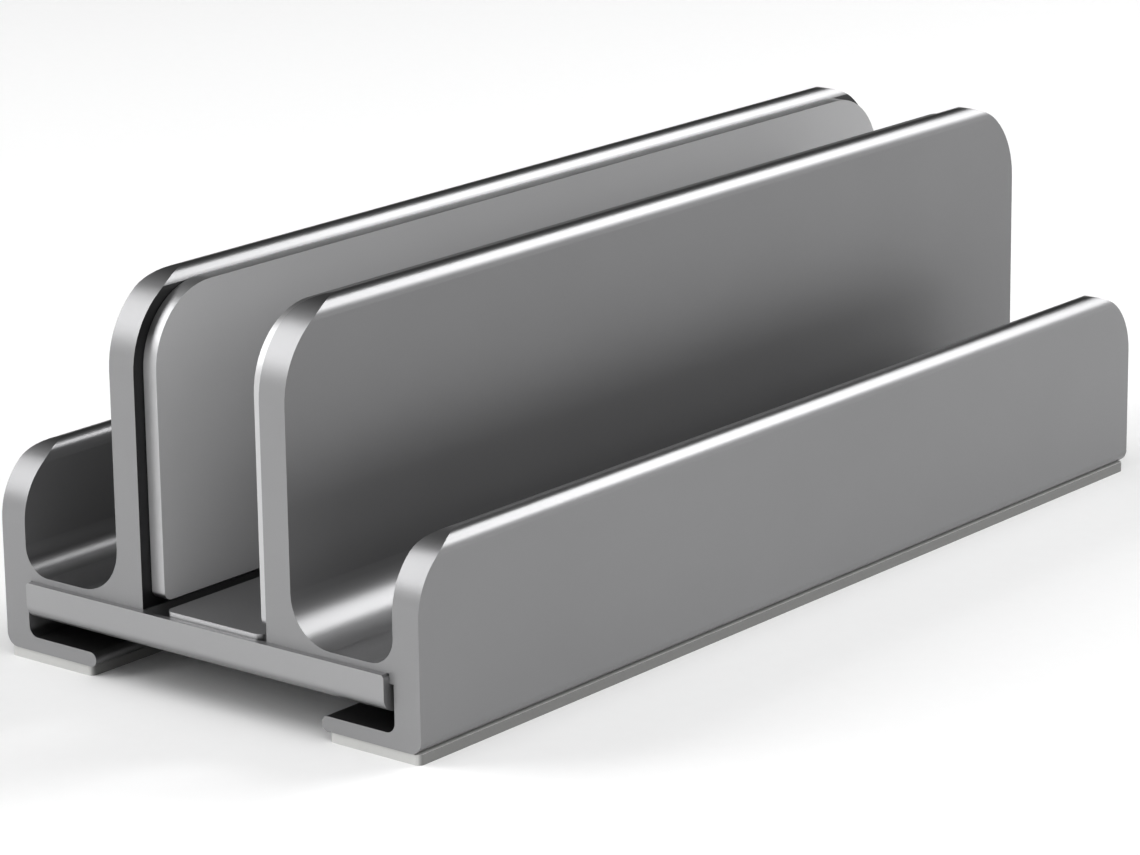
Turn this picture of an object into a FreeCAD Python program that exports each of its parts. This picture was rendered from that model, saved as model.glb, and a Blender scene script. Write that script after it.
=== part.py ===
# Vertical tablet stand: two extruded brackets on a base plate, with two sprung clamping jaws
# in the slot between them. Millimetres; X across the slot, Y along the walls, Z up, and the
# origin under the middle of the stand, on the surface that it stands on.
import FreeCAD, Part
import math
import os
import Sketcher

SIZES = {
    # brackets, one extrusion each
    "overall_width": 90.0,
    "bracket_length": 200.0,
    "outer_wall_height": 33.45,
    "tall_wall_rise": 53.7,
    "outer_wall_thick": 5.25,
    "tall_wall_thick": 5.35,
    "slot_width": 26.9,
    "channel_floor_thick": 1.0,
    "channel_inner_fillet": 8.0,
    "channel_outer_fillet": 4.8,
    "flange_reach": 20.4,
    "flange_thick": 2.5,
    "foot_inner_fillet": 1.8,
    "foot_outer_round": 2.2,
    "tall_corner_round": 15.0,
    "outer_corner_round": 12.0,
    "ledge_width": 0.9,
    "ledge_height": 1.6,
    # base plate
    "under_plate_gap": 3.35,
    "plate_thick": 6.3,
    "plate_overhang": 1.3,
    "plate_end_round": 2.6,
    "plate_edge_chamfer": 0.4,
    "plate_side_fit": 0.05,
    "pocket_depth": 4.65,
    "pocket_corner": 1.5,
    "pocket_end_fit": 0.3,
    "pocket_side_inset": 0.3,
    # jaws with their treads
    "jaw_thick": 2.8,
    "jaw_wall_gap": 0.15,
    "jaw_end_inset": 2.1,
    "jaw_lift": 1.4,
    "jaw_top_drop": 1.7,
    "jaw_top_round": 13.0,
    "jaw_low_round": 1.5,
    "tread_thick": 2.0,
    "tread_proud": 0.8,
    "tread_end_inset": 0.05,
    "tread_tip_gap": 1.9,
    "tread_corner": 1.5,
    "heel_inset": 1.0,
    "root_end_inset": 2.0,
    "finger_gap": 0.6,
    "spine_gap": 0.8,
    # hinges
    "hinge_inset": 2.05,
    "pin_diameter": 2.0,
    "pin_length": 16.0,
    "pin_bore_fit": 0.03,
    "pin_end_room": 0.2,
    "knuckle_radius": 1.6,
    "knuckle_length": 9.0,
    "knuckle_headroom": 0.3,
    "knuckle_room": 0.5,
    "pin_end_chamfer": 0.2,
    "hinge_first": 17.0,
    "hinge_pitch": 57.0,
    # return springs
    "spring_arm": 10.5,
    "spring_width": 5.0,
    "spring_strip": 0.35,
    "spring_bow_half": 9.0,
    "spring_foot": 2.0,
    "spring_end_fit": 0.05,
    # bracket screws
    "screw_diameter": 3.0,
    "screw_head_diameter": 5.6,
    "screw_length": 12.0,
    "screw_pitch": 55.0,
    "screw_thread_fit": 0.05,
    "screw_plate_fit": 0.2,
    "socket_width": 2.0,
    "socket_depth": 1.2,
    # foot pads
    "pad_thick": 1.75,
    "pad_tip_inset": 1.2,
    "pad_outer_inset": 0.5,
    "pad_end_inset": 0.2,
    "pad_corner": 1.0,
}

HINGES_PER_JAW = 3
SCREWS_PER_BRACKET = 3


class Size:
    """A length that keeps its number beside the formula that gives it from the sheet."""

    def __init__(self, value, formula):
        self.value = value
        self.formula = formula

    def combine(self, other, sign, value):
        return Size(value, f"({self.formula} {sign} {as_size(other).formula})")

    def __add__(self, other):
        return self.combine(other, "+", self.value + as_size(other).value)

    def __sub__(self, other):
        return self.combine(other, "-", self.value - as_size(other).value)

    def __mul__(self, other):
        return self.combine(other, "*", self.value * as_size(other).value)

    def __truediv__(self, other):
        return self.combine(other, "/", self.value / as_size(other).value)

    def __neg__(self):
        return Size(-self.value, f"(-{self.formula})")


def as_size(number):
    return number if isinstance(number, Size) else Size(float(number), repr(float(number)))


doc = FreeCAD.newDocument("tablet_stand")
sheet = doc.addObject("Spreadsheet::Sheet", "sizes")
for row, (alias, number) in enumerate(SIZES.items(), start=1):
    sheet.set(f"A{row}", alias.replace("_", " "))
    sheet.set(f"B{row}", str(number))
    sheet.setAlias(f"B{row}", alias)
doc.recompute()


def size(alias):
    return Size(float(sheet.get(alias)), f"sizes.{alias}")


# Heights above the surface that the stand rests on
flange_bottom = size("pad_thick")
flange_top = flange_bottom + size("flange_thick")
plate_bottom = flange_top + size("under_plate_gap")
plate_top = plate_bottom + size("plate_thick")
channel_floor = plate_top + size("channel_floor_thick")
outer_wall_top = flange_bottom + size("outer_wall_height")
tall_wall_top = plate_top + size("tall_wall_rise")
pocket_floor = plate_top - size("pocket_depth")
tread_top = plate_top + size("tread_proud")
tread_bottom = tread_top - size("tread_thick")
jaw_bottom = plate_top + size("jaw_lift")
jaw_top = tall_wall_top - size("jaw_top_drop")
hinge_height = plate_top - size("knuckle_headroom") - size("knuckle_radius")

# Distances from the middle plane, across the slot
outer_face = size("overall_width") / 2
outer_wall_inner = outer_face - size("outer_wall_thick")
slot_half = size("slot_width") / 2
tall_wall_outer = slot_half + size("tall_wall_thick")
tall_wall_middle = slot_half + size("tall_wall_thick") / 2
flange_tip = outer_face - size("flange_reach")
ledge_face = outer_wall_inner - size("ledge_width")
plate_half_width = ledge_face - size("plate_side_fit")
pocket_half = slot_half - size("pocket_side_inset")
jaw_outer = slot_half - size("jaw_wall_gap")
jaw_inner = jaw_outer - size("jaw_thick")
tread_heel = jaw_outer - size("heel_inset")
tread_tip = size("tread_tip_gap") - jaw_inner
spine_inner = size("spine_gap") - tread_tip
hinge_line = slot_half + size("hinge_inset")

# Distances from the middle, along the walls
bracket_end = size("bracket_length") / 2
plate_end = bracket_end + size("plate_overhang")
jaw_end = bracket_end - size("jaw_end_inset")
tread_end = bracket_end - size("tread_end_inset")
pocket_end = tread_end + size("pocket_end_fit")
finger_pitch = size("bracket_length") / 4
half_finger_gap = size("finger_gap") / 2


def bind(feature, settings):
    """Ties a feature's properties to the sheet."""
    for path, length in settings.items():
        feature.setExpression(path, as_size(length).formula)


def tangent_circle(heading, start, end):
    """Centre and radius of the circle that leaves start along the heading and comes to end. The
    radius is negative where the circle turns to the right."""
    left = FreeCAD.Vector(-heading.y, heading.x, 0).normalize()
    chord = end - start
    signed_radius = chord.dot(chord) / (2 * chord.dot(left))
    return start + left * signed_radius, signed_radius


def draw_outline(sketch, corners):
    """Closed outline with each corner held by its two distances from the origin. The side after
    a corner whose third item is true is an arc that runs on smoothly from the side before it."""
    points = [FreeCAD.Vector(corner[0].value, corner[1].value, 0) for corner in corners]
    heading = points[0] - points[-1]
    sides = []
    for place, corner in enumerate(corners):
        start = points[place]
        end = points[(place + 1) % len(points)]
        curved = len(corner) > 2 and corner[2]
        first, last = 1, 2
        if curved:
            centre, radius = tangent_circle(heading, start, end)
            spoke = end - centre
            heading = FreeCAD.Vector(-spoke.y, spoke.x, 0) * radius
            if radius < 0:
                start, end = end, start
                first, last = 2, 1
            angles = [math.atan2(p.y - centre.y, p.x - centre.x) for p in (start, end)]
            circle = Part.Circle(centre, FreeCAD.Vector(0, 0, 1), abs(radius))
            geometry = Part.ArcOfCircle(circle, angles[0], angles[1])
        else:
            heading = end - start
            geometry = Part.LineSegment(start, end)
        sides.append((sketch.addGeometry(geometry, False), first, last, curved))
    for place, (index, first, _, curved) in enumerate(sides):
        before, _, before_last, _ = sides[place - 1]
        kind = "Tangent" if curved else "Coincident"
        sketch.addConstraint(Sketcher.Constraint(kind, before, before_last, index, first))
        for axis, length in zip(("DistanceX", "DistanceY"), corners[place]):
            hold_point(sketch, axis, index, first, length)


def hold_point(sketch, axis, index, position, length):
    """Fixes one distance of a sketch point from the sketch's origin. A sketch numbers its own
    axes -1 across and -2 along, and point 1 of either is the origin."""
    if length.value == 0:
        line = -2 if axis == "DistanceX" else -1
        sketch.addConstraint(Sketcher.Constraint("PointOnObject", index, position, line))
        return
    rule = Sketcher.Constraint(axis, -1, 1, index, position, length.value)
    number = sketch.addConstraint(rule)
    sketch.setExpression(f"Constraints[{number}]", length.formula)


def draw_circle(sketch, across, along, radius):
    """Circle with its centre and radius tied to the sheet."""
    centre = FreeCAD.Vector(across.value, along.value, 0)
    circle = Part.Circle(centre, FreeCAD.Vector(0, 0, 1), radius.value)
    index = sketch.addGeometry(circle, False)
    hold_point(sketch, "DistanceX", index, 3, across)
    hold_point(sketch, "DistanceY", index, 3, along)
    number = sketch.addConstraint(Sketcher.Constraint("Radius", index, radius.value))
    sketch.setExpression(f"Constraints[{number}]", radius.formula)


def new_body(label):
    body = doc.addObject("PartDesign::Body", label)
    body.Label = label
    return body


def new_sketch(body, name, plane, offset=None):
    """Sketch on one of the body's own origin planes, moved along that plane's normal."""
    sketch = body.newObject("Sketcher::SketchObject", name)
    support = [f for f in body.Origin.OriginFeatures if f.Role == plane][0]
    sketch.AttachmentSupport = [(support, "")]
    sketch.MapMode = "FlatFace"
    if offset is not None:
        sketch.setExpression("AttachmentOffset.Base.z", offset.formula)
    return sketch


def pad(body, name, sketch, length, both_ways=False, backwards=False):
    feature = body.newObject("PartDesign::Pad", name)
    feature.Profile = sketch
    feature.SideType = "Symmetric" if both_ways else "One side"
    feature.Reversed = backwards
    bind(feature, {"Length": length})
    doc.recompute()
    return feature


def pocket(body, name, sketch, length=None, both_ways=False, backwards=False):
    """Cut of a set length, or right through where no length is given."""
    before = body.Shape.Volume
    feature = body.newObject("PartDesign::Pocket", name)
    feature.Profile = sketch
    feature.SideType = "Symmetric" if both_ways else "One side"
    feature.Reversed = backwards
    if length is None:
        feature.Type = "ThroughAll"
    else:
        bind(feature, {"Length": length})
    doc.recompute()
    if not feature.Shape.Volume < before:
        raise RuntimeError(f"{name} in {body.Label} cuts nothing")
    return feature


def edges_where(feature, test):
    """Names of the feature's edges whose middle and direction there pass the test."""
    names = []
    for number, edge in enumerate(feature.Shape.Edges, start=1):
        middle = edge.valueAt((edge.FirstParameter + edge.LastParameter) / 2)
        direction = edge.tangentAt((edge.FirstParameter + edge.LastParameter) / 2)
        if test(middle, direction):
            names.append(f"Edge{number}")
    return names


def dress(body, kind, name, feature, names, settings):
    """Fillet or chamfer on the named edges."""
    if not names:
        raise RuntimeError(f"{name} in {body.Label} found no edge")
    result = body.newObject(f"PartDesign::{kind}", name)
    result.Base = (feature, names)
    bind(result, settings)
    doc.recompute()
    return result


def near(value, target):
    return abs(value - target.value) < 1e-3


def along_y(direction):
    return abs(direction.y) > 0.999


def turn_round(obj):
    """The left piece is the right one turned half round about the vertical axis."""
    half_turn = FreeCAD.Rotation(FreeCAD.Vector(0, 0, 1), 180)
    obj.Placement = FreeCAD.Placement(FreeCAD.Vector(0, 0, 0), half_turn)


def step(start, end):
    """Which way a square-cornered outline runs from one corner to the next."""
    moves = [end[axis].value - start[axis].value for axis in (0, 1)]
    return [(move > 1e-6) - (move < -1e-6) for move in moves]


def rounded(corners):
    """Square-cornered outline with an arc at each corner that has a radius."""
    result = []
    for place, (across, along, radius) in enumerate(corners):
        if radius is None:
            result.append((across, along))
            continue
        came = step(corners[place - 1], corners[place])
        leaves = step(corners[place], corners[(place + 1) % len(corners)])
        result.append((across - radius * came[0], along - radius * came[1], True))
        result.append((across + radius * leaves[0], along + radius * leaves[1]))
    return result


def box_corners(low, high, radius=None):
    """The four corners between two opposite ones, each with the same radius."""
    return [(low[0], low[1], radius), (high[0], low[1], radius),
            (high[0], high[1], radius), (low[0], high[1], radius)]


def place_at(obj, across, along, height):
    bind(obj, {"Placement.Base.x": across, "Placement.Base.y": along, "Placement.Base.z": height})


# Rows of hinges and screws along the right side; the left side has them turned half round
hinge_places = [size("hinge_first") - bracket_end + size("hinge_pitch") * number
                for number in range(HINGES_PER_JAW)]
screw_places = [size("screw_pitch") * (number - (SCREWS_PER_BRACKET - 1) / 2)
                for number in range(SCREWS_PER_BRACKET)]
SIDES = {"right": 1, "left": -1}
RUN_OUT = as_size(1.0)


# Bracket: tall wall, channel floor, outer wall and foot flange are one extrusion, with full
# rounds on the wall tops and the flange tip. The wall ends are milled round afterwards.
def make_bracket(label):
    body = new_body(label)
    section = new_sketch(body, "section", "XZ_Plane")
    outer_round = outer_wall_top - size("outer_wall_thick") / 2
    tall_round = tall_wall_top - size("tall_wall_thick") / 2
    tip_round = flange_tip + size("flange_thick") / 2
    ledge_bottom = plate_top - size("ledge_height")
    draw_outline(section, [
        (outer_face, flange_bottom),
        (outer_face, outer_round, True),
        (outer_wall_inner, outer_round),
        (outer_wall_inner, channel_floor),
        (tall_wall_outer, channel_floor),
        (tall_wall_outer, tall_round, True),
        (slot_half, tall_round),
        (slot_half, plate_top),
        (ledge_face, plate_top),
        (ledge_face, ledge_bottom),
        (outer_wall_inner, ledge_bottom),
        (outer_wall_inner, flange_top),
        (tip_round, flange_top, True),
        (tip_round, flange_bottom),
    ])
    feature = pad(body, "extrusion", section, size("bracket_length"), both_ways=True)
    fillets = (
        ("foot_outer_round", outer_face, flange_bottom),
        ("channel_outer_fillet", outer_wall_inner, channel_floor),
        ("channel_inner_fillet", tall_wall_outer, channel_floor),
        ("foot_inner_fillet", outer_wall_inner, flange_top),
    )
    for alias, across, height in fillets:
        names = edges_where(feature, lambda middle, direction: (
            along_y(direction) and near(middle.x, across) and near(middle.z, height)))
        feature = dress(body, "Fillet", alias, feature, names, {"Radius": size(alias)})
    mill_corners(body, "tall_wall_corners", tall_wall_top, size("tall_corner_round"), None)
    channel_middle = (tall_wall_outer + outer_wall_inner) / 2
    mill_corners(body, "outer_wall_corners", outer_wall_top, size("outer_corner_round"),
                 channel_middle)
    holes = new_sketch(body, "screw_holes", "XY_Plane", plate_top)
    radius = size("screw_diameter") / 2 + size("screw_thread_fit")
    for along in screw_places:
        draw_circle(holes, tall_wall_middle, along, radius)
    depth = size("screw_length") - size("plate_thick") + RUN_OUT
    pocket(body, "tapped_holes", holes, depth, backwards=True)
    return body


def mill_corners(body, name, top, radius, offset):
    """Rounds both upper corners of a wall, seen from the side, from the offset plane outwards."""
    sketch = new_sketch(body, name, "YZ_Plane", offset)
    for end in (1, -1):
        draw_outline(sketch, [
            ((bracket_end - radius) * end, top + RUN_OUT),
            ((bracket_end + RUN_OUT) * end, top + RUN_OUT),
            ((bracket_end + RUN_OUT) * end, top - radius - RUN_OUT),
            (bracket_end * end, top - radius - RUN_OUT),
            (bracket_end * end, top - radius, True),
            ((bracket_end - radius) * end, top),
        ])
    pocket(body, f"{name}_cut", sketch, backwards=True)


# Base plate: flat bar between the outer walls, its lower end edges rounded. A pocket under the
# slot leaves room for the treads to sink, with a recess and a pin groove at each hinge.
def make_base_plate(label):
    body = new_body(label)
    bar = new_sketch(body, "bar", "XY_Plane", plate_bottom)
    draw_outline(bar, rounded(box_corners((-plate_half_width, -plate_end),
                                          (plate_half_width, plate_end))))
    feature = pad(body, "plate", bar, size("plate_thick"))
    names = edges_where(feature, lambda middle, direction: (
        abs(direction.x) > 0.999 and near(middle.z, plate_bottom)))
    feature = dress(body, "Fillet", "end_rounds", feature, names,
                    {"Radius": size("plate_end_round")})
    names = edges_where(feature, lambda middle, direction: (
        along_y(direction) and near(middle.z, plate_top)))
    dress(body, "Chamfer", "edge_chamfers", feature, names,
          {"Size": size("plate_edge_chamfer")})
    well = new_sketch(body, "tread_well", "XY_Plane", plate_top)
    draw_outline(well, rounded(box_corners((-pocket_half, -pocket_end), (pocket_half, pocket_end),
                                           size("pocket_corner"))))
    pocket(body, "tread_well_cut", well, size("pocket_depth"))
    room = size("knuckle_room")
    half_recess = size("knuckle_length") / 2 + room
    recess_edge = hinge_line + size("knuckle_radius") + room
    recesses = new_sketch(body, "knuckle_recesses", "XY_Plane", plate_top)
    for side in SIDES.values():
        for along in hinge_places:
            low = (tread_heel * side, (along - half_recess) * side)
            high = (recess_edge * side, (along + half_recess) * side)
            draw_outline(recesses, rounded(box_corners(low, high)))
    depth = size("knuckle_headroom") + size("knuckle_radius") * 2 + room
    pocket(body, "knuckle_recesses_cut", recesses, depth)
    groove_radius = size("pin_diameter") / 2
    for name, side in SIDES.items():
        for number, along in enumerate(hinge_places, start=1):
            groove = new_sketch(body, f"{name}_pin_groove_{number}", "XZ_Plane", along * -side)
            line = hinge_line * side
            draw_outline(groove, [
                (line + groove_radius, plate_top + RUN_OUT),
                (line - groove_radius, plate_top + RUN_OUT),
                (line - groove_radius, hinge_height, True),
                (line + groove_radius, hinge_height),
            ])
            pocket(body, f"{name}_pin_groove_{number}_cut", groove,
                   size("pin_length") + size("pin_end_room") * 2, both_ways=True)
    holes = new_sketch(body, "screw_holes", "XY_Plane", plate_bottom)
    radius = size("screw_diameter") / 2 + size("screw_plate_fit")
    for side in SIDES.values():
        for along in screw_places:
            draw_circle(holes, tall_wall_middle * side, along, radius)
    feature = pocket(body, "screw_holes_cut", holes, size("plate_thick"), backwards=True)
    names = edges_where(feature, lambda middle, direction: (
        near(middle.z, plate_bottom) and near(abs(abs(middle.x) - tall_wall_middle.value), radius)
        and abs(direction.z) < 0.001))
    dress(body, "Chamfer", "countersinks", feature, names,
          {"Size": size("screw_head_diameter") / 2 - radius})
    return body


# Jaw: clamping plate against the tall wall, with a comb-shaped tread at its foot and three
# hinge knuckles behind its heel. The two fingers of one jaw's tread pass those of the other.
def make_jaw(label):
    body = new_body(label)
    face = new_sketch(body, "face", "YZ_Plane", jaw_inner)
    top_round = size("jaw_top_round")
    low_round = size("jaw_low_round")
    draw_outline(face, rounded([
        (-jaw_end, jaw_bottom, low_round),
        (jaw_end, jaw_bottom, low_round),
        (jaw_end, jaw_top, top_round),
        (-jaw_end, jaw_top, top_round),
    ]))
    pad(body, "clamping_plate", face, size("jaw_thick"))
    comb = new_sketch(body, "comb", "XY_Plane", tread_bottom)
    corner = size("tread_corner")
    first_end = -finger_pitch - half_finger_gap
    second_end = finger_pitch - half_finger_gap
    draw_outline(comb, rounded([
        (tread_tip, -tread_end, corner),
        (tread_heel, -tread_end, corner),
        (tread_heel, second_end, corner),
        (tread_tip, second_end, corner),
        (tread_tip, half_finger_gap, corner),
        (spine_inner, half_finger_gap, None),
        (spine_inner, first_end, None),
        (tread_tip, first_end, corner),
    ]))
    pad(body, "tread", comb, size("tread_thick"))
    root = new_sketch(body, "root", "XY_Plane", tread_bottom)
    root_inset = size("root_end_inset")
    draw_outline(root, rounded(box_corners((jaw_inner, root_inset - jaw_end),
                                           (tread_heel, second_end - root_inset))))
    pad(body, "root_web", root, jaw_bottom - tread_bottom)
    knuckle = size("knuckle_radius")
    bore = size("pin_diameter") / 2 + size("pin_bore_fit")
    for number, along in enumerate(hinge_places, start=1):
        arm = new_sketch(body, f"arm_{number}", "XZ_Plane", -along)
        draw_outline(arm, [
            (spine_inner, hinge_height - knuckle),
            (hinge_line, hinge_height - knuckle, True),
            (hinge_line, hinge_height + knuckle),
            (spine_inner, hinge_height + knuckle),
        ])
        pad(body, f"knuckle_{number}", arm, size("knuckle_length"), both_ways=True)
    bores = new_sketch(body, "pin_bores", "XZ_Plane")
    draw_circle(bores, hinge_line, hinge_height, bore)
    pocket(body, "pin_bores_cut", bores, size("bracket_length"), both_ways=True)
    return body


# Hinge pin: plain dowel with broken ends, lying in its groove under the tall wall.
def make_pin(label, side, along):
    body = new_body(label)
    section = new_sketch(body, "section", "XZ_Plane")
    draw_circle(section, as_size(0), as_size(0), size("pin_diameter") / 2)
    dowel = pad(body, "dowel", section, size("pin_length"), both_ways=True)
    names = edges_where(dowel, lambda middle, direction: abs(direction.y) < 0.001)
    dress(body, "Chamfer", "broken_ends", dowel, names, {"Size": size("pin_end_chamfer")})
    place_at(body, hinge_line * side, along * side, hinge_height)
    return body


# Return spring: bowed leaf whose feet lie on the well's floor and whose crest bears on a finger.
# Both of its faces are the same run of four arcs, one a strip's thickness above the other.
def make_spring(label, side, along):
    body = new_body(label)
    leaf = new_sketch(body, "leaf", "YZ_Plane")
    strip = size("spring_strip")
    bow = size("spring_bow_half")
    foot_end = bow + size("spring_foot")
    rise = tread_bottom - pocket_floor - size("spring_end_fit") - strip
    bends = [(-1, 0), (-0.5, 0.5), (0, 1), (0.5, 0.5)]
    upper = [(bow * across, strip + rise * up, True) for across, up in bends]
    lower = [(bow * -across, rise * up, True) for across, up in bends]
    draw_outline(leaf, [(-foot_end, strip)] + upper + [(bow, strip), (foot_end, strip),
                       (foot_end, as_size(0))] + lower + [(-bow, as_size(0)),
                       (-foot_end, as_size(0))])
    pad(body, "strip", leaf, size("spring_width"), both_ways=True)
    centre = hinge_line - size("spring_arm")
    place_at(body, centre * side, along * side, pocket_floor)
    return body


# Bracket screw: countersunk, driven up through the base plate into the tall wall.
def make_screw(label, side, along):
    body = new_body(label)
    profile = new_sketch(body, "profile", "XZ_Plane")
    head = size("screw_head_diameter") / 2
    shank = size("screw_diameter") / 2
    draw_outline(profile, [
        (as_size(0), as_size(0)),
        (head, as_size(0)),
        (shank, head - shank),
        (shank, size("screw_length")),
        (as_size(0), size("screw_length")),
    ])
    turned = body.newObject("PartDesign::Revolution", "turned")
    turned.Profile = profile
    turned.ReferenceAxis = (profile, ["V_Axis"])
    turned.Angle = 360
    doc.recompute()
    socket = new_sketch(body, "socket", "XY_Plane")
    draw_hexagon(socket, size("socket_width"))
    pocket(body, "socket_cut", socket, size("socket_depth"), backwards=True)
    place_at(body, tall_wall_middle * side, along * side, plate_bottom)
    return body


def draw_hexagon(sketch, width):
    """Regular hexagon about the origin, as wide across its flats as given."""
    reach = width / math.sqrt(3)
    across = [reach, reach / 2, -reach / 2, -reach, -reach / 2, reach / 2]
    along = [as_size(0), width / 2, width / 2, as_size(0), -width / 2, -width / 2]
    draw_outline(sketch, list(zip(across, along)))


# Foot pad: strip under the foot flange, held a little inside its outline.
def make_foot_pad(label):
    body = new_body(label)
    strip = new_sketch(body, "strip", "XY_Plane")
    low = (flange_tip + size("pad_tip_inset"), size("pad_end_inset") - bracket_end)
    high = (outer_face - size("pad_outer_inset"), bracket_end - size("pad_end_inset"))
    draw_outline(strip, rounded(box_corners(low, high, size("pad_corner"))))
    pad(body, "pad", strip, size("pad_thick"))
    return body


pieces = [make_base_plate("base_plate")]
finger_middles = [finger_pitch * -1.5, finger_pitch / 2]
for name, side in SIDES.items():
    pair = [make_bracket(f"{name}_bracket"), make_jaw(f"{name}_jaw"),
            make_foot_pad(f"{name}_foot_pad")]
    if side < 0:
        for piece in pair:
            turn_round(piece)
    pieces += pair
    pieces += [make_pin(f"{name}_hinge_pin_{number}", side, along)
               for number, along in enumerate(hinge_places, start=1)]
    pieces += [make_spring(f"{name}_return_spring_{number}", side, along)
               for number, along in enumerate(finger_middles, start=1)]
    pieces += [make_screw(f"{name}_bracket_screw_{number}", side, along)
               for number, along in enumerate(screw_places, start=1)]

doc.recompute()
for obj in doc.Objects:
    if "Invalid" in obj.State or "Error" in obj.State:
        raise RuntimeError(f"{obj.Label} failed to build")
for piece in pieces:
    if piece.Shape.isNull() or not piece.Shape.isValid():
        raise RuntimeError(f"{piece.Label} has no valid shape")

os.makedirs("parts", exist_ok=True)
for piece in pieces:
    piece.Shape.exportStep(os.path.join("parts", f"{piece.Label}.step"))
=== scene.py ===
import math

import bpy
from mathutils import Matrix, Vector


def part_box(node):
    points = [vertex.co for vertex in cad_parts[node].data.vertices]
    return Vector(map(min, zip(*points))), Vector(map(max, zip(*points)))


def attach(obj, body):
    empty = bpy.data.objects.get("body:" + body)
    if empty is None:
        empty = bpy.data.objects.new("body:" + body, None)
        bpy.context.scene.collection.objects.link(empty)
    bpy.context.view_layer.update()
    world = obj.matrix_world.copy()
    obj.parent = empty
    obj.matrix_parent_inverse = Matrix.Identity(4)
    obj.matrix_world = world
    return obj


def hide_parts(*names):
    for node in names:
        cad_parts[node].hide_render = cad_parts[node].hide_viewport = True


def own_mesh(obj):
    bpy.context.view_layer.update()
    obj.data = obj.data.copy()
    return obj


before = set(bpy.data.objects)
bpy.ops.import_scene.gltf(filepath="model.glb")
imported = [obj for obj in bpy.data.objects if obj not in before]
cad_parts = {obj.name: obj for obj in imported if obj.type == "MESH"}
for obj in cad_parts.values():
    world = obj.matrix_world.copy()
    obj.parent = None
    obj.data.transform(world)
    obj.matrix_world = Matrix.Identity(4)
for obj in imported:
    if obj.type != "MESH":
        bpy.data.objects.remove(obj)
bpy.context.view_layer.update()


# Brackets, left and right. Each is one aluminium extrusion: tall wall, channel, outer wall and
# foot. It is sawn to length and its upper corners are milled round. The flat faces are blasted
# matt, the rounded rims and fillets keep a satin gloss, and the whole is anodised dark grey.
BLAST_GRAIN_MM = 0.5  # real grit is near 0.1 mm, drawn coarser so that it shows
DIE_LINE_MM = 0.8  # spacing of the faint lines that the die draws along the extrusion
DIE_LINE_RUN = 0.01  # scale along a line, against 1 across it
TONE_PATCH_MM = 35.0  # slow drift of the dye's tone
TONE_DRIFT = (0.93, 1.05)
RIM_TO_FACE = (0.88, 0.99)  # cosines between which a rounded rim turns into a flat face
SATIN_ROUGHNESS = 0.32
BLASTED_ROUGHNESS = 0.42
GRAIN_ROUGHNESS = 0.06  # what the grain adds
SATIN_METALLIC = 0.95
BLASTED_METALLIC = 0.65
DIE_LINE_HEIGHT = 0.5  # against 1 for the grain
METAL_BUMP = {"Strength": 0.04, "Distance": 0.0001}


def linear(hex_colour):
    """sRGB hex value to the linear colour that the shaders take."""
    shares = [int(hex_colour[start:start + 2], 16) / 255 for start in (1, 3, 5)]
    return tuple(share / 12.92 if share <= 0.04045 else ((share + 0.055) / 1.055) ** 2.4
                 for share in shares) + (1.0,)


def add_node(tree, kind, settings=(), inputs=(), links=()):
    """One node with its settings, its socket values and the outputs linked into it."""
    node = tree.nodes.new(kind)
    for name, value in dict(settings).items():
        setattr(node, name, value)
    for name, value in dict(inputs).items():
        node.inputs[name].default_value = value
    for name, output in dict(links).items():
        tree.links.new(output, node.inputs[name])
    return node


def new_material(name):
    """Material with its node tree and its shader."""
    material = bpy.data.materials.new(name)
    material.use_nodes = True
    return material, material.node_tree, material.node_tree.nodes["Principled BSDF"]


def per_metre(millimetres):
    """Texture scale of a pattern whose features are that many millimetres apart."""
    return 1000 / millimetres


def square_to(tree, axis):
    """1 on a flat face square to the axis, 0 on a rim that is turned well away from it."""
    normal = add_node(tree, "ShaderNodeSeparateXYZ",
                      links={"Vector": add_node(tree, "ShaderNodeNewGeometry").outputs["Normal"]})
    turned = add_node(tree, "ShaderNodeMath", {"operation": "ABSOLUTE"}, links={0: normal.outputs[axis]})
    square = add_node(tree, "ShaderNodeMapRange",
                      inputs={"From Min": RIM_TO_FACE[0], "From Max": RIM_TO_FACE[1]},
                      links={"Value": turned.outputs["Value"]})
    return square.outputs["Result"]


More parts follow.
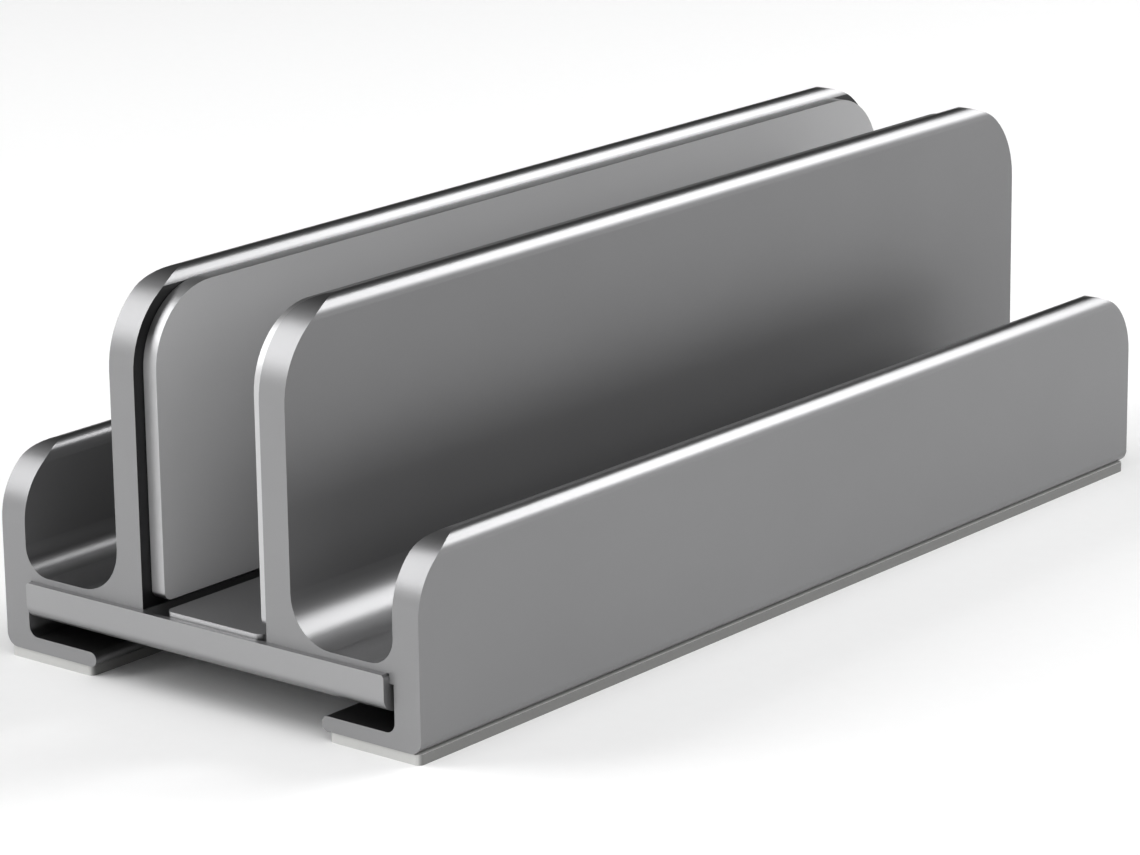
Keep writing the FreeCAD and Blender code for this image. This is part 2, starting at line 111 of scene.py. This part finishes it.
def anodised_aluminium(name, satin, side, sawn, side_metallic):
    """Dyed aluminium in three tones. Faces square to X are blasted matt in the side tone, faces
    square to Y are sawn, and what is round between them is satin. The dye drifts slowly. The
    bump is an even grain with faint lines along Y, where a die or a mill drew the surface."""
    material, tree, shader = new_material(name)
    place = add_node(tree, "ShaderNodeTexCoord").outputs["Object"]
    patches = add_node(tree, "ShaderNodeTexNoise",
                       inputs={"Scale": per_metre(TONE_PATCH_MM), "Detail": 2.0},
                       links={"Vector": place})
    drawn = add_node(tree, "ShaderNodeMapping", inputs={"Scale": (1, DIE_LINE_RUN, 1)},
                     links={"Vector": place})
    lines = add_node(tree, "ShaderNodeTexNoise",
                     inputs={"Scale": per_metre(DIE_LINE_MM), "Detail": 1.0},
                     links={"Vector": drawn.outputs["Vector"]})
    grain = add_node(tree, "ShaderNodeTexNoise",
                     inputs={"Scale": per_metre(BLAST_GRAIN_MM), "Detail": 3.0},
                     links={"Vector": place})
    square_to_x = square_to(tree, "X")
    square_to_y = square_to(tree, "Y")

    blasted_side = add_node(tree, "ShaderNodeMix", {"data_type": "RGBA"},
                            {"A": linear(satin), "B": linear(side)}, {"Factor": square_to_x})
    sawn_end = add_node(tree, "ShaderNodeMix", {"data_type": "RGBA"}, {"B": linear(sawn)},
                        {"A": blasted_side.outputs["Result"], "Factor": square_to_y})
    drift = add_node(tree, "ShaderNodeMapRange", inputs={"To Min": TONE_DRIFT[0], "To Max": TONE_DRIFT[1]},
                     links={"Value": patches.outputs["Fac"]})
    dyed = add_node(tree, "ShaderNodeMix", {"data_type": "RGBA", "blend_type": "MULTIPLY"},
                    {"Factor": 1.0}, {"A": sawn_end.outputs["Result"], "B": drift.outputs["Result"]})
    tree.links.new(dyed.outputs["Result"], shader.inputs["Base Color"])

    ends = add_node(tree, "ShaderNodeMapRange",
                    inputs={"To Min": SATIN_METALLIC, "To Max": BLASTED_METALLIC},
                    links={"Value": square_to_y})
    metallic = add_node(tree, "ShaderNodeMapRange", inputs={"To Max": side_metallic},
                        links={"Value": square_to_x, "To Min": ends.outputs["Result"]})
    tree.links.new(metallic.outputs["Result"], shader.inputs["Metallic"])
    flat = add_node(tree, "ShaderNodeMath", {"operation": "MAXIMUM"},
                    links={0: square_to_x, 1: square_to_y})
    blasted = add_node(tree, "ShaderNodeMapRange",
                       inputs={"To Min": SATIN_ROUGHNESS, "To Max": BLASTED_ROUGHNESS},
                       links={"Value": flat.outputs["Value"]})
    rough = add_node(tree, "ShaderNodeMath", {"operation": "MULTIPLY_ADD"}, {1: GRAIN_ROUGHNESS},
                     {0: grain.outputs["Fac"], 2: blasted.outputs["Result"]})
    tree.links.new(rough.outputs["Value"], shader.inputs["Roughness"])
    height = add_node(tree, "ShaderNodeMath", {"operation": "MULTIPLY_ADD"}, {1: DIE_LINE_HEIGHT},
                      {0: lines.outputs["Fac"], 2: grain.outputs["Fac"]})
    bump = add_node(tree, "ShaderNodeBump", inputs=METAL_BUMP, links={"Height": height.outputs["Value"]})
    tree.links.new(bump.outputs["Normal"], shader.inputs["Normal"])
    return material


def finish_node(name, material):
    """Gives a carried-over solid its finish."""
    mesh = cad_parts[name].data
    mesh.materials.clear()
    mesh.materials.append(material)


extrusion = anodised_aluminium("anodised_extrusion", satin="#868687", side="#848485", sawn="#9a9a9b",
                               side_metallic=BLASTED_METALLIC)

# The tall walls' inner faces, in the narrow gap behind each jaw, are painted near black. This is painted
# shade for that gap, so that each shows as a near-black line beside its jaw.
TALL_WALL_THICK = 0.00535
FACE_SKIN = 0.0001  # how near to its plane a point counts as on the face
SLOT_FACE_PAINTED_SHADE = "#262627"

slot_half = abs(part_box("left_bracket")[1][0])
tree = extrusion.node_tree
shader = tree.nodes["Principled BSDF"]
dyed = shader.inputs["Base Color"].links[0].from_socket
place = add_node(tree, "ShaderNodeSeparateXYZ",
                 links={"Vector": add_node(tree, "ShaderNodeTexCoord").outputs["Object"]})
from_middle = add_node(tree, "ShaderNodeMath", {"operation": "ABSOLUTE"}, links={0: place.outputs["X"]})
wall_face = square_to(tree, "X")
inner = add_node(tree, "ShaderNodeMath", {"operation": "LESS_THAN"}, {1: slot_half + FACE_SKIN},
                 {0: from_middle.outputs["Value"]})
painted_slot_shade_mask = add_node(tree, "ShaderNodeMath", {"operation": "MULTIPLY"},
                  links={0: inner.outputs["Value"], 1: wall_face})
# painted shade: the tall walls' slot faces take the near-black colour
tone = add_node(tree, "ShaderNodeMix", {"data_type": "RGBA"}, {"B": linear(SLOT_FACE_PAINTED_SHADE)},
                {"A": dyed, "Factor": painted_slot_shade_mask.outputs["Value"]})

# Their outer faces and the faces that lie level, the channel floors among them, are painted darker than the
# low outer walls, the level faces the most. This is painted shade for the walls and floors that lie deep in
# the channels.
DEEP_WALL_SHADE = 0.82  # this and the next are shares of the outer walls' tone
LEVEL_FACE_SHADE = 0.65
DEEP_WALL_SHADE_FADE = 0.0006  # how far off the wall's face the tone is back to full

off_face = add_node(tree, "ShaderNodeMath", {"operation": "SUBTRACT"}, {1: slot_half + TALL_WALL_THICK},
                    {0: from_middle.outputs["Value"]})
off_face = add_node(tree, "ShaderNodeMath", {"operation": "ABSOLUTE"}, links={0: off_face.outputs["Value"]})
deep_wall_shade = add_node(tree, "ShaderNodeMapRange",
                   inputs={"From Min": FACE_SKIN, "From Max": DEEP_WALL_SHADE_FADE, "To Min": DEEP_WALL_SHADE},
                   links={"Value": off_face.outputs["Value"]})
# painted shade on the tall walls' outer faces
tone = add_node(tree, "ShaderNodeMix", {"data_type": "RGBA", "blend_type": "MULTIPLY"},
                links={"A": tone.outputs["Result"], "B": deep_wall_shade.outputs["Result"], "Factor": wall_face})
# painted shade on every face that lies level
level_face_shade = add_node(tree, "ShaderNodeMapRange", inputs={"To Min": 1.0, "To Max": LEVEL_FACE_SHADE},
                         links={"Value": square_to(tree, "Z")})
tone = add_node(tree, "ShaderNodeMix", {"data_type": "RGBA", "blend_type": "MULTIPLY"}, {"Factor": 1.0},
                {"A": tone.outputs["Result"], "B": level_face_shade.outputs["Result"]})
tree.links.new(tone.outputs["Result"], shader.inputs["Base Color"])
for side in ("left", "right"):
    finish_node(f"{side}_bracket", extrusion)


# Foot pads. Strips of pale grey silicone rubber, punched from sheet and stuck under the foot flanges. The
# sheet is matt with a fine leathery skin. The long sides, where the surface turns to X, are painted darker
# than the ends as painted shade.
SKIN_MM = 1.2
CLOUD_MM = 12.0
SILICONE_ROUGHNESS = 0.62
SILICONE_IOR = 1.41
SIDE_SHADE_TURN = (0.5, 0.95)  # cosines between which the painted shade comes in as the surface turns to X
SIDE_SHADE_SHARE = 0.9
# colour of the painted shade on the long sides
PAINTED_SIDE_SHADE = "#6c6c6b"
SKIN_BUMP = {"Strength": 0.15, "Distance": 0.0001}

silicone, tree, shader = new_material("silicone_sheet")
shader.inputs["Roughness"].default_value = SILICONE_ROUGHNESS
shader.inputs["IOR"].default_value = SILICONE_IOR
place = add_node(tree, "ShaderNodeTexCoord").outputs["Object"]
skin = add_node(tree, "ShaderNodeTexVoronoi", inputs={"Scale": per_metre(SKIN_MM)}, links={"Vector": place})
clouds = add_node(tree, "ShaderNodeTexNoise", inputs={"Scale": per_metre(CLOUD_MM)},
                  links={"Vector": place})
unshaded_sheet = add_node(tree, "ShaderNodeMix", {"data_type": "RGBA"},
                 {"A": linear("#c8c8c6"), "B": linear("#d2d2d0")}, {"Factor": clouds.outputs["Fac"]})
normal = add_node(tree, "ShaderNodeSeparateXYZ",
                  links={"Vector": add_node(tree, "ShaderNodeNewGeometry").outputs["Normal"]})
sideways = add_node(tree, "ShaderNodeMath", {"operation": "ABSOLUTE"}, links={0: normal.outputs["X"]})
side_shade = add_node(tree, "ShaderNodeMapRange",
                  inputs={"From Min": SIDE_SHADE_TURN[0], "From Max": SIDE_SHADE_TURN[1], "To Max": SIDE_SHADE_SHARE},
                  links={"Value": sideways.outputs["Value"]})
# painted shade on the long sides of the pads
tone = add_node(tree, "ShaderNodeMix", {"data_type": "RGBA"}, {"B": linear(PAINTED_SIDE_SHADE)},
                {"A": unshaded_sheet.outputs["Result"], "Factor": side_shade.outputs["Result"]})
tree.links.new(tone.outputs["Result"], shader.inputs["Base Color"])
bump = add_node(tree, "ShaderNodeBump", inputs=SKIN_BUMP, links={"Height": skin.outputs["Distance"]})
tree.links.new(bump.outputs["Normal"], shader.inputs["Normal"])
for side in ("left", "right"):
    finish_node(f"{side}_foot_pad", silicone)


# Base plate. Flat aluminium bar, milled with a well under the slot, blasted and dyed in the same
# bath as the brackets. The bar takes the dye a little lighter than the extrusions.
bar = anodised_aluminium("anodised_bar", satin="#8e8e8f", side="#8e8e8f", sawn="#aaaaab",
                         side_metallic=BLASTED_METALLIC)
finish_node("base_plate", bar)


# Bracket screws. Countersunk steel screws with a hexagon socket, blackened, driven from below
# through the base plate into the tall walls. The oxide is dull and a little uneven.
OXIDE_PATCH_MM = 1.5
OXIDE_METALLIC = 0.8
OXIDE_ROUGHNESS = 0.4

blackened_steel, tree, shader = new_material("blackened_steel")
shader.inputs["Metallic"].default_value = OXIDE_METALLIC
shader.inputs["Roughness"].default_value = OXIDE_ROUGHNESS
place = add_node(tree, "ShaderNodeTexCoord").outputs["Object"]
oxide = add_node(tree, "ShaderNodeTexNoise", inputs={"Scale": per_metre(OXIDE_PATCH_MM)},
                 links={"Vector": place})
tone = add_node(tree, "ShaderNodeMix", {"data_type": "RGBA"},
                {"A": linear("#1d1d1f"), "B": linear("#333336")}, {"Factor": oxide.outputs["Fac"]})
tree.links.new(tone.outputs["Result"], shader.inputs["Base Color"])
for side in ("left", "right"):
    for number in (1, 2, 3):
        finish_node(f"{side}_bracket_screw_{number}", blackened_steel)


# Hinge pins. Ground steel dowels that lie in grooves of the base plate, under the tall walls.
# Grinding leaves fine rings around them.
RING_MM = 0.3
RING_RUN = 0.05  # scale across a pin, against 1 along it
RING_ROUGHNESS = (0.18, 0.3)

ground_steel, tree, shader = new_material("ground_steel")
shader.inputs["Metallic"].default_value = 1.0
place = add_node(tree, "ShaderNodeTexCoord").outputs["Object"]
around = add_node(tree, "ShaderNodeMapping", inputs={"Scale": (RING_RUN, 1, RING_RUN)},
                  links={"Vector": place})
rings = add_node(tree, "ShaderNodeTexNoise", inputs={"Scale": per_metre(RING_MM)},
                 links={"Vector": around.outputs["Vector"]})
tone = add_node(tree, "ShaderNodeMix", {"data_type": "RGBA"},
                {"A": linear("#a9a9a9"), "B": linear("#bdbdbe")}, {"Factor": rings.outputs["Fac"]})
tree.links.new(tone.outputs["Result"], shader.inputs["Base Color"])
rough = add_node(tree, "ShaderNodeMapRange",
                 inputs={"To Min": RING_ROUGHNESS[0], "To Max": RING_ROUGHNESS[1]},
                 links={"Value": rings.outputs["Fac"]})
tree.links.new(rough.outputs["Result"], shader.inputs["Roughness"])
for side in ("left", "right"):
    for number in (1, 2, 3):
        finish_node(f"{side}_hinge_pin_{number}", ground_steel)


# Return springs. Bowed leaves of tempered spring strip, straw to blue from the furnace, that lie
# loose in the well under the jaws' fingers. A finger that comes down presses its leaf flat.
STRIP_THICK = 0.00035
LEAF_FOOT = 0.002
LEAF_STEPS = 24  # along each half of the bow
HEAT_PATCH_MM = 6.0
STRIP_ROUGHNESS = 0.28

tempered_strip, tree, shader = new_material("tempered_spring_strip")
shader.inputs["Metallic"].default_value = 1.0
shader.inputs["Roughness"].default_value = STRIP_ROUGHNESS
place = add_node(tree, "ShaderNodeTexCoord").outputs["Object"]
heat = add_node(tree, "ShaderNodeTexNoise", inputs={"Scale": per_metre(HEAT_PATCH_MM)},
                links={"Vector": place})
tone = add_node(tree, "ShaderNodeMix", {"data_type": "RGBA"},
                {"A": linear("#5d6675"), "B": linear("#7d7468")}, {"Factor": heat.outputs["Fac"]})
tree.links.new(tone.outputs["Result"], shader.inputs["Base Color"])


def bow_height(along, half, rise):
    """Height of the bow's underside: two equal arcs on each side, tangent to foot and crest."""
    radius = ((half / 2) ** 2 + (rise / 2) ** 2) / rise
    along = min(abs(along), half)
    if along < half / 2:
        return rise - radius + math.sqrt(radius ** 2 - along ** 2)
    return radius - math.sqrt(radius ** 2 - (half - along) ** 2)


def bowed_leaf(name, low, high):
    """Leaf that fills the box from low to high: strip of one thickness, bent along Y."""
    half = (high.y - low.y) / 2 - LEAF_FOOT
    rise = high.z - low.z - STRIP_THICK
    middle = (low.y + high.y) / 2
    stations = [half * step / LEAF_STEPS for step in range(-LEAF_STEPS, LEAF_STEPS + 1)]
    stations = [-half - LEAF_FOOT] + stations + [half + LEAF_FOOT]
    section = ((low.x, 0), (high.x, 0), (high.x, STRIP_THICK), (low.x, STRIP_THICK))
    points = [(x, middle + along, low.z + bow_height(along, half, rise) + up)
              for along in stations for x, up in section]
    corners = len(section)
    last_ring = len(points) - corners
    faces = [tuple(range(corners))]
    for ring in range(0, last_ring, corners):
        for corner in range(corners):
            after = (corner + 1) % corners
            faces.append((ring + corner, ring + corner + corners, ring + after + corners, ring + after))
    faces.append(tuple(reversed(range(last_ring, len(points)))))
    mesh = bpy.data.meshes.new(name)
    mesh.from_pydata(points, [], faces)
    mesh.materials.append(tempered_strip)
    leaf = bpy.data.objects.new(name, mesh)
    bpy.context.scene.collection.objects.link(leaf)
    return leaf


for side in ("left", "right"):
    for number in (1, 2):
        node = f"{side}_return_spring_{number}"
        low, high = (Vector(corner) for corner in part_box(node))
        leaf = bowed_leaf(f"{side}_bowed_leaf_{number}", low, high)
        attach(leaf, "stand")
        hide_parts(node)
        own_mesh(leaf)


# Jaws, left and right. Aluminium clamps with the tread at their foot, cut from plate. The rims
# and the tread are satin like the brackets. The clamping face shows matt all over, and is taken
# to be blasted coarser so that it grips.
CLAMPING_METALLIC = 0.0  # matched to the photograph, where this face has no gloss of metal

plate_cut = anodised_aluminium("anodised_plate", satin="#a6a6a7", side="#aeaeaf", sawn="#d4d4d5",
                               side_metallic=CLAMPING_METALLIC)
for side in ("left", "right"):
    finish_node(f"{side}_jaw", plate_cut)


# Camera, standing in front of the right corner and a little above the walls, with a long lens.
# The photograph leans by less than a degree, so the camera does too.
CAMERA_PLACE = Vector((0.46931, -0.58172, 0.23546))
CAMERA_AZIMUTH = math.radians(39.288)
CAMERA_ELEVATION = math.radians(15.822)
CAMERA_ROLL = math.radians(-0.786)
LENS_MM = 141.0
SENSOR_MM = 36
VIEW_BEGINS = 0.02  # metres in front of the camera

back = Vector((math.sin(CAMERA_AZIMUTH) * math.cos(CAMERA_ELEVATION),
               -math.cos(CAMERA_AZIMUTH) * math.cos(CAMERA_ELEVATION),
               math.sin(CAMERA_ELEVATION)))
level_right = Vector((math.cos(CAMERA_AZIMUTH), math.sin(CAMERA_AZIMUTH), 0))
level_up = back.cross(level_right)
right = math.cos(CAMERA_ROLL) * level_right + math.sin(CAMERA_ROLL) * level_up
up = -math.sin(CAMERA_ROLL) * level_right + math.cos(CAMERA_ROLL) * level_up
camera_data = bpy.data.cameras.new("camera")
camera_data.lens = LENS_MM
camera_data.sensor_fit = "HORIZONTAL"
camera_data.sensor_width = SENSOR_MM
camera_data.clip_start = VIEW_BEGINS
camera = bpy.data.objects.new("camera", camera_data)
camera.matrix_world = Matrix.Translation(CAMERA_PLACE) @ Matrix((right, up, back)).transposed().to_4x4()
bpy.context.scene.collection.objects.link(camera)
bpy.context.scene.camera = camera


# Floor. Plain pale paper, matt, much larger than the view. Its fibres give it a faint mottle,
# drawn at a few millimetres so that it shows at all.
FLOOR_HALF = 4.0
FIBRE_MM = 3.0
PAPER_ROUGHNESS = 0.9

floor_mesh = bpy.data.meshes.new("floor")
floor_mesh.from_pydata([(-FLOOR_HALF, -FLOOR_HALF, 0), (FLOOR_HALF, -FLOOR_HALF, 0),
                        (FLOOR_HALF, FLOOR_HALF, 0), (-FLOOR_HALF, FLOOR_HALF, 0)], [], [(0, 1, 2, 3)])
paper, tree, shader = new_material("matt_paper")
shader.inputs["Roughness"].default_value = PAPER_ROUGHNESS
fibres = add_node(tree, "ShaderNodeTexNoise", inputs={"Scale": per_metre(FIBRE_MM)},
                  links={"Vector": add_node(tree, "ShaderNodeTexCoord").outputs["Object"]})
tone = add_node(tree, "ShaderNodeMix", {"data_type": "RGBA"},
                {"A": linear("#f7f7f7"), "B": linear("#f9f9f9")}, {"Factor": fibres.outputs["Fac"]})
tree.links.new(tone.outputs["Result"], shader.inputs["Base Color"])
floor_mesh.materials.append(paper)
floor = bpy.data.objects.new("floor", floor_mesh)
bpy.context.scene.collection.objects.link(floor)


# Light. Three softboxes in a pale room. The long one behind draws the bright line along each
# rounded edge and fillet, the one at the front left lights the milled corners, and the wide one
# overhead lights the paper and the faces that lie level.
WHITE_WATTS = 4  # for each square metre of a lamp that is as bright as white


def softbox(name, toward, long_side, distance, long_reach, short_reach, radiance):
    """Rectangular lamp in that direction from the stand, turned so that its long side runs the
    given way. Its radiance is that of a surface as bright, where 1 is white."""
    facing_axis = Vector(toward).normalized()
    long_axis = Vector(long_side)
    long_axis = (long_axis - long_axis.dot(facing_axis) * facing_axis).normalized()
    data = bpy.data.lights.new(name, "AREA")
    data.shape = "RECTANGLE"
    data.size = long_reach
    data.size_y = short_reach
    data.energy = WHITE_WATTS * radiance * long_reach * short_reach
    lamp = bpy.data.objects.new(name, data)
    turn = Matrix((long_axis, facing_axis.cross(long_axis), facing_axis)).transposed().to_4x4()
    lamp.matrix_world = Matrix.Translation(facing_axis * distance) @ turn
    bpy.context.scene.collection.objects.link(lamp)


softbox("behind_box", toward=(0.446, 0.745, 0.496), long_side=(-0.743, 0, 0.669),
        distance=1.35, long_reach=1.15, short_reach=0.34, radiance=7.4)
softbox("front_left_box", toward=(-0.61, -0.52, 0.60), long_side=(0, 0.75, 0.65),
        distance=1.3, long_reach=1.2, short_reach=0.42, radiance=3.9)
softbox("overhead_box", toward=(0.25, -0.3, 1.0), long_side=(0, 1, 0),
        distance=1.5, long_reach=1.2, short_reach=1.2, radiance=1.45)

# The room is pale to the height of a table lamp and dimmer above. A dark screen hangs behind the
# stand to its left, and gives each rounded edge a dark line beside the bright one.
LOW_ROOM = 0.55  # this and the next two are brightnesses, where 1 is white
UPPER_ROOM = 0.4
DARK_SCREEN = 0.02
LOW_ROOM_EDGE = (0.03, 0.18)  # heights between which the room goes dim, as shares of its radius
SCREEN_EDGE = (0.76, 0.93)  # cosines between which the screen begins
SCREEN_TOWARD = Vector((-0.30, 0.76, 0.55))

world = bpy.data.worlds.new("room")
bpy.context.scene.world = world
world.use_nodes = True
tree = world.node_tree
direction = add_node(tree, "ShaderNodeTexCoord").outputs["Generated"]
toward_screen = add_node(tree, "ShaderNodeVectorMath", {"operation": "DOT_PRODUCT"},
                         {1: SCREEN_TOWARD.normalized()}, {0: direction})
upper_room = add_node(tree, "ShaderNodeMapRange", {"interpolation_type": "SMOOTHSTEP"},
                      {"From Min": SCREEN_EDGE[0], "From Max": SCREEN_EDGE[1],
                       "To Min": UPPER_ROOM, "To Max": DARK_SCREEN},
                      {"Value": toward_screen.outputs["Value"]})
height = add_node(tree, "ShaderNodeSeparateXYZ", links={"Vector": direction})
room = add_node(tree, "ShaderNodeMapRange", {"interpolation_type": "SMOOTHSTEP"},
                {"From Min": LOW_ROOM_EDGE[0], "From Max": LOW_ROOM_EDGE[1], "To Min": LOW_ROOM},
                {"Value": height.outputs["Z"], "To Max": upper_room.outputs["Result"]})
tree.links.new(room.outputs["Result"], tree.nodes["Background"].inputs["Color"])

bpy.context.scene.view_settings.view_transform = "Standard"
